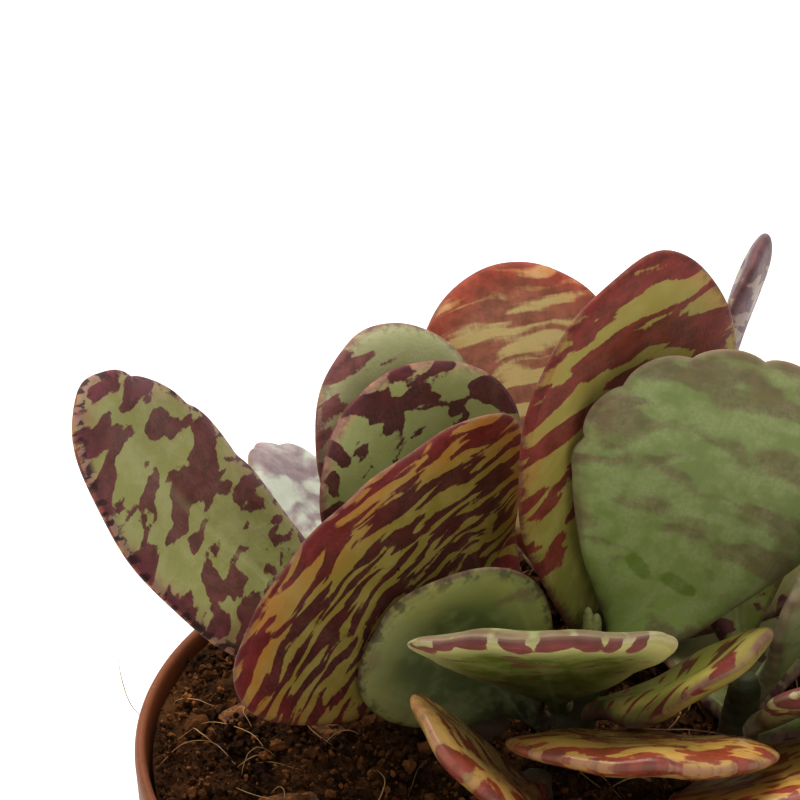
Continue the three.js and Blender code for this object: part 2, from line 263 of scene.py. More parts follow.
TERRACOTTA = tint(134, 78, 46)
TERRACOTTA_DEEP = tint(126, 73, 43)
SOIL_STAIN = tint(96, 62, 42)
finish, tree = new_finish("terracotta_plastic")
place = add(tree, "TexCoord").outputs["Object"]
cloudy = grain(tree, place, 60, 4)
scuffs = grain(tree, place, 900, 3, 0.6, (1, 1, 4))
plastic = blend(tree, between(tree, cloudy, 0.35, 0.65), TERRACOTTA, TERRACOTTA_DEEP)
plastic = blend(tree, between(tree, scuffs, 0.6, 0.75, 0, 0.25), plastic, tint(184, 128, 92))
height = add(tree, "SeparateXYZ", Vector=place).outputs["Z"]
near_rim = between(tree, height, LIP_FOOT, POT_HEIGHT, 0.0, 0.3)
dusty = maths(tree, "MULTIPLY", near_rim, between(tree, grain(tree, place, 420, 5, 0.7), 0.5, 0.62))
plastic = blend(tree, dusty, plastic, SOIL_STAIN)
polish = between(tree, cloudy, 0.3, 0.7, 0.5, 0.66)
surface(tree, plastic, grain(tree, place, 2600, 2), 0.02 * MM, Roughness=polish, Specular_IOR_Level=0.25)
pot_shell.data.materials.clear()
pot_shell.data.materials.append(finish)
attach(pot_shell, "root")
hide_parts("pot")


# Potting mix. A plug of dark peat and coir that fills the pot to just under its rim. Its top is loose
# crumb, a little lower round the stems and banked up at the back left, and only firmed down by hand.
GAP = 0.3 * MM
SOIL_TOP = POT_HEIGHT - 2.6 * MM
SOIL_RADIUS = RIM_RADIUS - WALL - 0.2 * MM - GAP
SOIL_RINGS = 150
SOIL_SIDES = 320


def ease(a):
    """Goes from 0 to 1 with level ends."""
    t = np.clip(a, 0, 1)
    return t * t * (3 - 2 * t)


def bed_height(x, y):
    """Height of the soil's broad top at a place, all in metres."""
    xm, ym = x / MM, y / MM
    r = np.hypot(xm, ym)
    broad = np.sin(0.55 * xm + 1.3) * np.cos(0.61 * ym - 0.4)
    narrow = 0.6 * np.sin(0.9 * xm - 0.7 * ym + 2.1)
    calm = 1 - 0.5 * ease((r - 30) / 10)
    dip = 0.8 * (1 - ease(r / 26))
    bank = 0.9 * ease((0.6 * ym - 0.8 * xm - 8) / 30)
    return SOIL_TOP + MM * (bank - dip + 0.35 * (broad + narrow) * calm)


def crumble(x, y):
    """Small lumps and pits of the soil's top, in metres."""
    places = np.stack([x, y], axis=1) / MM
    lumps = [noise.fractal(Vector((a * 0.45, b * 0.45, 3.7)), 0.7, 2.1, 5) for a, b in places.tolist()]
    pits = [noise.noise(Vector((a * 1.3, b * 1.3, 9.1))) for a, b in places.tolist()]
    return MM * (0.75 * np.array(lumps) + 0.35 * np.array(pits) - 0.15)


def tube_faces(rings, sides, start=0):
    """Faces of a tube whose points come ring by ring, and then the faces that close its two ends."""
    index = start + np.arange(rings * sides).reshape(rings, sides)
    beside = np.roll(index, -1, axis=1)
    walls = np.stack([index[:-1], beside[:-1], beside[1:], index[1:]], axis=-1).reshape(-1, 4)
    return [*walls.tolist(), index[0, ::-1].tolist(), index[-1].tolist()]


shares = np.linspace(1, 1 / SOIL_RINGS, SOIL_RINGS)[:, None]
turn = 2 * math.pi * np.arange(SOIL_SIDES) / SOIL_SIDES
x = (SOIL_RADIUS * shares * np.cos(turn)).ravel()
y = (SOIL_RADIUS * shares * np.sin(turn)).ravel()
z = bed_height(x, y) + crumble(x, y) * np.repeat(ease((1 - shares) * 25), SOIL_SIDES)
wall_line = [[r - GAP, z_wall + GAP] for r, z_wall in reversed(inner_wall[1:])]
wall_points, wall_faces = turned(np.array([[0, FLOOR + GAP], *wall_line, [0, 0]]), SOIL_SIDES)
hub = len(wall_points) - 2
bed_points = np.concatenate([wall_points[:hub], np.stack([x, y, z], axis=1), wall_points[hub:hub + 1]])
bed_faces = [[k if k < hub else len(bed_points) - 1 for k in f] for f in wall_faces if hub + 1 not in f]
top_faces = tube_faces(SOIL_RINGS + 1, SOIL_SIDES, hub - SOIL_SIDES)
bed_faces += [*top_faces[:-2], top_faces[-1]]
soil_bed = new_piece("soil_bed", bed_points, bed_faces)

PEAT = tint(72, 45, 24)
PEAT_DARK = tint(22, 11, 7)
COIR = tint(128, 84, 46)


def peat_finish(name, light, reads_tone):
    """Matt brown soil, whose crumbs each have their own tone where the mesh carries one."""
    finish, tree = new_finish(name)
    place = add(tree, "TexCoord").outputs["Object"]
    mottle = between(tree, grain(tree, place, 1700, 5, 0.7), 0.4, 0.62)
    patches = between(tree, grain(tree, place, 190, 4, 0.6), 0.38, 0.62)
    brown = blend(tree, mottle, PEAT_DARK, PEAT)
    brown = blend(tree, maths(tree, "MULTIPLY", patches, 0.35), brown, light)
    if reads_tone:
        tone = add(tree, "Attribute", attribute_name="tone").outputs["Fac"]
        brown = blend(tree, between(tree, tone, 0.35, 1.0, 0, 0.9), brown, light)
    relief = grain(tree, place, 3800, 4, 0.7)
    surface(tree, brown, relief, 0.3 * MM, Roughness=0.92, Specular_IOR_Level=0.1)
    return finish


soil_bed.data.materials.append(peat_finish("potting_mix", COIR, False))
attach(soil_bed, "root")
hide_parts("soil")


# Crumbs of the potting mix. Loose lumps, grit and fines of peat and coir, from a fifth of a millimetre to
# about two across, which lie strewn over the whole bed and on each other.
CRUMB_HARD_ANGLE = 30


def ball(splits):
    """Points and faces of a round of triangles with a radius of 1, split finer a number of times."""
    g = (1 + math.sqrt(5)) / 2
    corners = [(-1, g, 0), (1, g, 0), (-1, -g, 0), (1, -g, 0), (0, -1, g), (0, 1, g)]
    corners += [(0, -1, -g), (0, 1, -g), (g, 0, -1), (g, 0, 1), (-g, 0, -1), (-g, 0, 1)]
    points = [Vector(c).normalized() for c in corners]
    faces = [(0, 11, 5), (0, 5, 1), (0, 1, 7), (0, 7, 10), (0, 10, 11), (1, 5, 9), (5, 11, 4)]
    faces += [(11, 10, 2), (10, 7, 6), (7, 1, 8), (3, 9, 4), (3, 4, 2), (3, 2, 6), (3, 6, 8)]
    faces += [(3, 8, 9), (4, 9, 5), (2, 4, 11), (6, 2, 10), (8, 6, 7), (9, 8, 1)]
    for _ in range(splits):
        middles = {}
        finer = []
        for face in faces:
            inner = []
            for a, b in zip(face, (*face[1:], face[0])):
                key = (min(a, b), max(a, b))
                if key not in middles:
                    middles[key] = len(points)
                    points.append((points[a] + points[b]).normalized())
                inner.append(middles[key])
            a, b, c = face
            ab, bc, ca = inner
            finer += [(a, ab, ca), (b, bc, ab), (c, ca, bc), (ab, bc, ca)]
        faces = finer
    return np.array(points), np.array(faces)


def turns(rng, count):
    """Random rotations, as matrices."""
    q = rng.normal(size=(count, 4))
    w, x, y, z = (q / np.linalg.norm(q, axis=1, keepdims=True)).T
    rows = [
        [1 - 2 * (y * y + z * z), 2 * (x * y - z * w), 2 * (x * z + y * w)],
        [2 * (x * y + z * w), 1 - 2 * (x * x + z * z), 2 * (y * z - x * w)],
        [2 * (x * z - y * w), 2 * (y * z + x * w), 1 - 2 * (x * x + y * y)],
    ]
    return np.moveaxis(np.array(rows), -1, 0)


def scatter_crumbs(name, count, smallest, largest, splits, lift, seed):
    """One mesh of loose crumbs strewn over the bed, with radii in millimetres."""
    rng = np.random.default_rng(seed)
    unit, unit_faces = ball(splits)
    radius = MM * smallest * (largest / smallest) ** (rng.random(count) ** 2.4)
    out = np.sqrt(rng.random(count)) * (SOIL_RADIUS - 1.1 * radius)
    angle = rng.random(count) * 2 * math.pi
    x, y = out * np.cos(angle), out * np.sin(angle)
    z = bed_height(x, y) + radius * lift * (rng.random(count) - 0.25)
    drift = [noise.noise(Vector((a / MM * 0.3, b / MM * 0.3, seed))) for a, b in zip(x, y)]
    z += MM * 0.3 * np.array(drift)
    shape = unit[None] * rng.uniform(0.6, 1.25, (count, 1, 3))
    shape = shape * rng.uniform(0.6, 1.35, (count, len(unit), 1))
    points = np.einsum("nij,nkj->nki", turns(rng, count), shape) * radius[:, None, None]
    points += np.stack([x, y, z], axis=1)[:, None]
    faces = unit_faces[None] + (np.arange(count) * len(unit))[:, None, None]
    crumbs = new_piece(name, points.reshape(-1, 3), faces.reshape(-1, 3), CRUMB_HARD_ANGLE)
    tone = crumbs.data.attributes.new("tone", "FLOAT", "POINT")
    tone.data.foreach_set("value", np.repeat(rng.random(count) ** 2.2, len(unit)).astype(np.float32))
    return crumbs


CRUMB_TAN = tint(160, 106, 60)
crumb_finish = peat_finish("peat_crumb", CRUMB_TAN, True)
# Each kind: how many, smallest and largest radius, fineness, how high they lie, and the seed of its draws.
for name, count, smallest, largest, splits, lift, seed in (
    ("soil_lumps", 2200, 0.25, 1.1, 1, 1.6, 11),
    ("soil_grit", 9600, 0.16, 0.5, 0, 3.0, 12),
    ("soil_fines", 7600, 0.1, 0.34, 0, 5.0, 13),
):
    crumbs = scatter_crumbs(name, count, smallest, largest, splits, lift, seed)
    crumbs.data.materials.append(crumb_finish)
    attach(crumbs, "root")


# Bark chips. Flat, split bits of brown bark, four to seven millimetres long, mixed into the soil to keep it
# open. They lie half sunk in its top.
# Each chip: its place, half its length and its heading in degrees.
CHIPS = (
    (-27.5, -10.6, 3.4, 20),
    (-17.0, -16.2, 2.6, 75),
    (-24.5, 2.5, 2.2, 130),
    (-33.0, 4.6, 2.0, 45),
    (-12.5, -19.5, 1.8, 160),
    (22.0, 24.0, 2.8, 15),
    (-6.0, 31.0, 3.2, 100),
    (30.5, -9.0, 2.4, 60),
    (-20.0, 22.0, 2.6, 150),
    (8.0, -31.0, 3.0, 35),
)
CHIP_HARD_ANGLE = 35
rng = np.random.default_rng(31)
unit, unit_faces = ball(2)
chip_points = []
chip_faces = []
for x, y, half_length, heading in CHIPS:
    a = math.radians(heading)
    rough = unit * rng.uniform(0.82, 1.15, (len(unit), 1))
    squared = np.sign(rough) * np.abs(rough) ** 0.6
    slab = squared * np.array([half_length, half_length * 0.62, half_length * 0.26]) * MM
    lean = slab[:, 2] + slab[:, 0] * rng.uniform(-0.3, 0.3)
    along = slab[:, 0] * math.cos(a) - slab[:, 1] * math.sin(a) + x * MM
    aside = slab[:, 0] * math.sin(a) + slab[:, 1] * math.cos(a) + y * MM
    top = float(bed_height(x * MM, y * MM)) + 0.25 * MM
    join(chip_points, chip_faces, np.stack([along, aside, lean + top], axis=1), unit_faces)
bark_chips = new_piece("bark_chips", chip_points, chip_faces, CHIP_HARD_ANGLE)
finish, tree = new_finish("pine_bark")
place = add(tree, "TexCoord").outputs["Object"]
layers = between(tree, grain(tree, place, 900, 4, 0.7, (1, 1, 0.3)), 0.35, 0.65)
bark = blend(tree, layers, tint(84, 50, 22), tint(150, 98, 44))
bark = blend(tree, between(tree, grain(tree, place, 2400, 3), 0.55, 0.7), bark, PEAT)
surface(tree, bark, layers, 0.15 * MM, Roughness=0.85)
bark_chips.data.materials.append(finish)
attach(bark_chips, "root")


# Root threads and coir fibres. Dry, pale, hair-thin and springy, they curl up out of the soil where it was
# broken to pot the plant. One hangs over the rim at the left and one lies along a low leaf in front.
THREAD_SIDES = 5
THREAD_STEPS = 7


def thread(line, radius):
    """Points and faces of a thin round thread along a line, drawn out to a point at both ends."""
    line = np.asarray(line, float)
    ahead = np.gradient(line, axis=0)
    ahead /= np.linalg.norm(ahead, axis=1, keepdims=True)
    aside = np.cross(ahead, [0.13, 0.21, 0.97])
    aside /= np.linalg.norm(aside, axis=1, keepdims=True)
    over = np.cross(aside, ahead)
    thin = radius * (0.35 + 0.65 * np.sin(np.linspace(0.12, math.pi - 0.12, len(line))))
    turn = 2 * math.pi * np.arange(THREAD_SIDES) / THREAD_SIDES
    spread = np.cos(turn)[None, :, None] * aside[:, None] + np.sin(turn)[None, :, None] * over[:, None]
    points = (line[:, None] + spread * thin[:, None, None]).reshape(-1, 3)
    return points, tube_faces(len(line), THREAD_SIDES)


def curve_through(points, steps):
    """A smooth line through a few points, the same number of steps between each two."""
    p = np.array([points[0], *points, points[-1]], float)
    line = []
    for a, b, c, d in zip(p, p[1:], p[2:], p[3:]):
        for t in np.arange(steps) / steps:
            line.append(b + 0.5 * t * (c - a + t * (2 * a - 5 * b + 4 * c - d + t * (3 * (b - c) + d - a))))
    return np.array([*line, p[-1]])


# Each thread: its radius, then its way over the soil as x, y and its height above the bed there.
THREADS = (
    (0.10, [(-15.6, -10.8, 0.3), (-17.0, -13.0, 1.6), (-16.2, -16.0, 1.2), (-12.5, -19.4, 0.5)]),
    (0.07, [(-19.4, -4.0, 0.2), (-18.6, -7.5, 1.3), (-19.4, -10.6, 0.9), (-21.0, -12.6, 0.2)]),
    (0.06, [(-40.2, -5.4, 0.2), (-37.8, -2.4, 1.2), (-35.0, -1.6, 1.0), (-32.8, -3.8, 0.3)]),
    (0.06, [(-38.6, 0.4, 0.2), (-35.6, 1.6, 1.1), (-31.6, 0.2, 1.2), (-29.8, -2.2, 0.2)]),
    (0.05, [(-33.6, -7.0, 0.2), (-31.4, -9.4, 0.9), (-28.6, -9.8, 0.6), (-26.4, -8.2, 0.2)]),
    (0.06, [(-12.2, -11.0, 0.2), (-14.2, -12.8, 1.4), (-13.0, -14.6, 0.9), (-10.6, -15.0, 0.2)]),
    (0.05, [(-24.8, -13.4, 0.2), (-22.2, -15.8, 1.0), (-19.4, -16.6, 0.8), (-16.8, -18.6, 0.2)]),
)
# The one along the leaf and the one over the rim, with their heights from the rim.
FREE_THREADS = (
    (0.07, [(3, -13.9, 8.5), (6.2, -15.1, 9), (9.2, -14.7, 8.7), (11.7, -18.1, 10.3)]),
    (0.05, [(-41.2, 2.6, -1.6), (-43.0, 2.2, 0.9), (-43.9, 3.0, 3.4), (-44.3, 4.2, 5.4)]),
)
STRAY_THREADS = 150
STRAY_REACH = 36
STRAY_POINTS = 9
STRAY_STEPS = 2
SOIL_EDGE = 39.6
thread_points = []
thread_faces = []


def lay_thread(way, base, steps, radius):
    """Adds one thread to the mesh of them all. Its way is in millimetres, over a base height in metres."""
    lifted = [(x * MM, y * MM, base(x * MM, y * MM) + z * MM) for x, y, z in way]
    join(thread_points, thread_faces, *thread(curve_through(lifted, steps), radius * MM))


for radius, way in THREADS:
    lay_thread(way, bed_height, THREAD_STEPS, radius)
rng = np.random.default_rng(47)
for _ in range(STRAY_THREADS):
    out = math.sqrt(rng.random()) * STRAY_REACH
    angle = rng.random() * 2 * math.pi
    x, y = out * math.cos(angle), out * math.sin(angle)
    heading = rng.random() * 2 * math.pi
    bend = rng.normal() * 0.14
    pace = rng.uniform(0.3, 1.1)
    arch = rng.uniform(0.3, 1.3)
    way = []
    for k in range(STRAY_POINTS):
        inside = min(1.0, SOIL_EDGE / max(math.hypot(x, y), 1))
        x, y = x * inside, y * inside
        way.append((x, y, 0.15 + arch * math.sin(math.pi * k / (STRAY_POINTS - 1))))
        heading += bend + rng.normal() * 0.16
        x += pace * math.cos(heading)
        y += pace * math.sin(heading)
    lay_thread(way, bed_height, STRAY_STEPS, rng.uniform(0.035, 0.075))
for radius, way in FREE_THREADS:
    lay_thread(way, lambda x, y: POT_HEIGHT, THREAD_STEPS, radius)
root_threads = new_piece("root_threads", thread_points, thread_faces)
finish, tree = new_finish("dry_root")
place = add(tree, "TexCoord").outputs["Object"]
along = between(tree, grain(tree, place, 160, 3), 0.38, 0.62)
straw = blend(tree, along, tint(200, 164, 108), tint(140, 98, 58))
surface(tree, straw, grain(tree, place, 5200, 2), 0.02 * MM, Roughness=0.7)
root_threads.data.materials.append(finish)
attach(root_threads, "root")


# Stems. Five short, fleshy green shoots from one rootstock, ringed by the scars of fallen leaves and
# browned by cork towards the soil that they stand in.
STEM_DEPTH = 11 * MM
STEM_SIDES = 40
STEM_STEPS = 46
STEM_HARD_ANGLE = 60
SCARS = 9
SCAR_DEPTH = 0.07 * MM
RIDGE_HEIGHT = 0.06 * MM
# Each stem: where it leaves the soil and where it ends, from the rim's middle, and its radius low and high.
STEMS = {
    "centre": ([-1.6, 0.2, -4], [0.7, -1.2, 10.2], 2.7, 1.8),
    "left": ([-8.6, 4.2, -4], [-9.4, 4.2, 7.5], 2.3, 1.7),
    "back": ([1.8, 12.6, -4], [2.6, 13.0, 8], 2.4, 1.7),
    "right": ([14.5, -1.5, -4], [15.5, -1.5, 6.5], 2.2, 1.6),
    "front": ([-4.3, -7.4, -4], [-4.5, -8.0, -0.2], 1.6, 1.4),
}

finish, tree = new_finish("stem_skin")
place = add(tree, "TexCoord").outputs["Object"]
height = add(tree, "SeparateXYZ", Vector=place).outputs["Z"]
ragged = maths(tree, "ADD", height, maths(tree, "MULTIPLY", grain(tree, place, 500, 4), 5 * MM))
corky = between(tree, ragged, POT_HEIGHT - 1 * MM, POT_HEIGHT + 6 * MM, 1, 0)
green = blend(tree, between(tree, grain(tree, place, 350, 4), 0.4, 0.6), tint(66, 70, 36), tint(88, 86, 48))
green = blend(tree, between(tree, grain(tree, place, 700, 3), 0.56, 0.66, 0, 0.7), green, tint(84, 48, 40))
skin = blend(tree, corky, green, tint(84, 60, 40))
surface(tree, skin, grain(tree, place, 2200, 4, 0.6), 0.08 * MM, Roughness=0.6, Subsurface_Weight=0.08,
        Subsurface_Radius=(1.0, 0.8, 0.3), Subsurface_Scale=1 * MM)
for name, (soil_point, top_point, wide, narrow) in STEMS.items():
    soil_point = np.array(soil_point) * MM + [0, 0, POT_HEIGHT]
    top_point = np.array(top_point) * MM + [0, 0, POT_HEIGHT]
    steps = np.linspace(0, 1, STEM_STEPS)
    middles = soil_point + (top_point - soil_point) * steps[:, None]
    radii = np.interp(steps, [0, 0.45, 0.9, 1], [wide, (wide + narrow) / 2, narrow, narrow * 0.55]) * MM
    scars = SCAR_DEPTH * np.cos(steps * math.pi * SCARS) ** 8
    radii = (radii - scars)[:, None] * np.ones(STEM_SIDES)
    turn = 2 * math.pi * np.arange(STEM_SIDES) / STEM_SIDES
    radii += RIDGE_HEIGHT * np.sin(3 * turn + 9 * steps[:, None]) * ease(steps * 3)[:, None]
    around = np.stack([np.cos(turn), np.sin(turn), np.zeros(STEM_SIDES)], axis=1)
    rings = middles[:, None] + around[None] * radii[:, :, None]
    foot = rings[0] - [0, 0, STEM_DEPTH]
    points = np.concatenate([foot, rings.reshape(-1, 3)])
    faces = tube_faces(STEM_STEPS + 1, STEM_SIDES)
    shoot = new_piece("shoot_" + name, points, faces, STEM_HARD_ANGLE)
    shoot.data.materials.append(finish)
    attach(shoot, "root")
    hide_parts("stem_" + name)


# Leaves of the left shoot. Each is a thick, fleshy blade that narrows to a short stalk on its stem, with a
# waxy skin: green with purple-brown blotches above, yellower with red blotches below, and a tinted margin
# whose very edge is partly a painted highlight.
STALK = 0.12
STALK_WIDTH = 2.6
TOOTH_FADE = 4
MARGIN_ROWS = 161
BLADE_RINGS = 20
GREEN_SLOT = "leaf_green"
GLAUCOUS_SLOT = "leaf_glaucous"
YELLOW_SLOT = "leaf_yellow"
RED_SLOT = "leaf_red"


def blade_mesh(name, seed, root, azimuth, rise, length, width, bend=0, roll=0, cup=0.1, thick=2.4,
               widest=1.7, blunt=0.5, scallop=0, lobe=6.5, shift=0, toothed=(-99, 99), slant=0, wave=0.22,
               groove=0.16):
    """A leaf's mesh in the solid's own form, with teeth, midrib and small waves. Sizes are millimetres."""
    heading = math.radians(azimuth)
    slope = math.radians(rise)
    turn = math.radians(bend) or 1e-4
    ahead = np.array([math.cos(heading), math.sin(heading), 0])
    side = np.array([-math.sin(heading), math.cos(heading), 0])
    upward = np.array([0, 0, 1])
    foot = np.array(root, float) + [0, 0, POT_HEIGHT / MM]

    def sheet(u, y):
        climb = slope + turn * u
        out = length * (np.sin(climb) - math.sin(slope)) / turn
        up = length * (math.cos(slope) - np.cos(climb)) / turn
        twist = (math.radians(roll) * ease(u / 0.35))[..., None]
        face = -np.sin(climb)[..., None] * ahead + np.cos(climb)[..., None] * upward
        across = side * np.cos(twist) - face * np.sin(twist)
        over = face * np.cos(twist) + side * np.sin(twist)
        middle = foot + ahead * out[..., None] + upward * up[..., None]
        return middle + across * y[..., None] + over * (2 * cup * y * y / width)[..., None]

    # The margin from one side of the stalk round the tip to the other, first plain and then pushed out and
    # in for its round teeth.
    end = MARGIN_ROWS - 1
    tip = end // 2
    i = np.arange(MARGIN_ROWS)
    plain_u = np.sin(math.pi / 2 * (1 - np.abs(i - tip) / tip))
    t = np.maximum(0, (plain_u - STALK) / (1 - STALK))
    half = width / 2 * np.maximum(0, np.sin(math.pi * t**widest)) ** blunt
    half = np.sqrt(half**2 + (STALK_WIDTH / 2) ** 2 * (1 - ease(t / 0.5)))
    plain = np.stack([plain_u * length, np.where(i == tip, 0, half * np.sign(tip - i))], axis=1)
    steps = np.gradient(plain, axis=0)
    pace = np.linalg.norm(steps, axis=1)
    walked = np.cumsum(pace)
    walked -= walked[tip]
    tooth = np.abs(np.cos(math.pi * (walked - shift) / lobe)) ** 0.6 - 0.6
    window = ease((walked - toothed[0]) / TOOTH_FADE) * ease((toothed[1] - walked) / TOOTH_FADE)
    push = scallop * tooth * window * ease((plain_u - 0.3) / 0.2)
    steps /= pace[:, None]
    margin_u = ((plain[:, 0] - steps[:, 1] * push) / length)[:, None]
    margin_y = (plain[:, 1] + steps[:, 0] * push)[:, None]

    # The upper and the lower skin, from the spine out to the margin, with small waves and a midrib groove.
    ring = (1 - (1 - np.arange(BLADE_RINGS + 1) / BLADE_RINGS) ** 2)[None]
    spine = plain_u[:, None] * (1 - 0.26 * width / length * plain_u[:, None] ** 4)
    u = spine * (1 - ring) + margin_u * ring
    y = margin_y * ring
    small = 1e-3
    forward = sheet(u + small, y) - sheet(u - small, y)
    sideways = sheet(u, y + small) - sheet(u, y - small)
    normal = np.cross(forward, sideways)
    normal /= np.linalg.norm(normal, axis=2, keepdims=True)
    half_thick = thick / 2 * np.sqrt(np.maximum(0, 1 - ring**3.5)) * (0.95 - 0.15 * (1 - ease(u / 0.3)))
    ripple = np.sin(0.42 * u * length + seed) * np.cos(0.37 * y + 2 * seed)
    ripple += 0.6 * np.sin(0.8 * y + 0.23 * u * length + 3 * seed)
    ripple *= wave * ease(u / 0.5) * (0.4 + 0.6 * ring)
    midrib = np.exp(-((y / 0.9) ** 2)) * ease(u / 0.25) * (1 - ease((u - 0.6) / 0.3))
    middle = sheet(u, y)
    upper = middle + normal * (half_thick + ripple - groove * midrib)[..., None]
    under = middle + normal * (ripple - half_thick - 0.4 * groove * midrib)[..., None]

    # What the colours follow: the way to the margin, and a place on arcs round a point behind the stalk.
    edge = (1 - ring) * np.hypot(margin_y, (margin_u - spine) * length)
    back = 0.3 * length
    fan = np.arctan2(y, u * length + back)
    arc = 0.8 * length * fan
    band = np.hypot(u * length + back, y) + slant * arc
    facing = np.array([1, -1])[:, None, None] * np.minimum(1, edge / 0.5)
    # Triangles alike on both skins, a strip that closes the stalk, and one point where several meet.
    count = u.size
    index = np.arange(count).reshape(u.shape)
    a, b, c, d = index[:-1, :-1], index[1:, :-1], index[1:, 1:], index[:-1, 1:]
    faces = [np.stack(f, axis=-1).reshape(-1, 3) for f in ((a, b, c), (a, c, d))]
    faces += [np.stack(f, axis=-1).reshape(-1, 3) + count for f in ((a, c, b), (a, d, c))]
    for row, order in ((0, (0, 1, 2)), (end, (0, 2, 1))):
        p, q = index[row, :-1], index[row, 1:]
        for f in ((p, q, q + count), (p, q + count, p + count)):
            faces.append(np.stack([f[k] for k in order], axis=-1))
    faces = np.concatenate(faces)
    points = np.concatenate([upper.reshape(-1, 3), under.reshape(-1, 3)])
    _, first, merged = np.unique(np.round(points, 5), axis=0, return_index=True, return_inverse=True)
    faces = merged.ravel()[faces]
    whole = (faces[:, 0] != faces[:, 1]) & (faces[:, 1] != faces[:, 2]) & (faces[:, 2] != faces[:, 0])
    piece = new_piece("blade_" + name, points[first] * MM, faces[whole])

    for label, values in (
        ("blade_place", (u * length * MM, y * MM, facing)),
        ("blade_bands", (band * MM, arc * MM, seed * 0.37)),
        ("blade_edge", (edge * MM, u, fan)),
    ):
        flat = [np.broadcast_to(v, facing.shape).reshape(-1)[first] for v in values]
        data = piece.data.attributes.new(label, "FLOAT_VECTOR", "POINT").data
        data.foreach_set("vector", np.stack(flat, axis=1).astype(np.float32).ravel())
    return piece


SWAY_GRAIN = 190.0
RAGGED_WEIGHT = 0.22
FRINGE_WEIGHT = 0.07
SPECK = tint(52, 24, 26)
VEIN = tint(186, 186, 136)
WAX = tint(206, 208, 180)
RIBS = 3.2
FLESH_DEPTH = 1.6 * MM
SKIN_RELIEF = 0.045 * MM


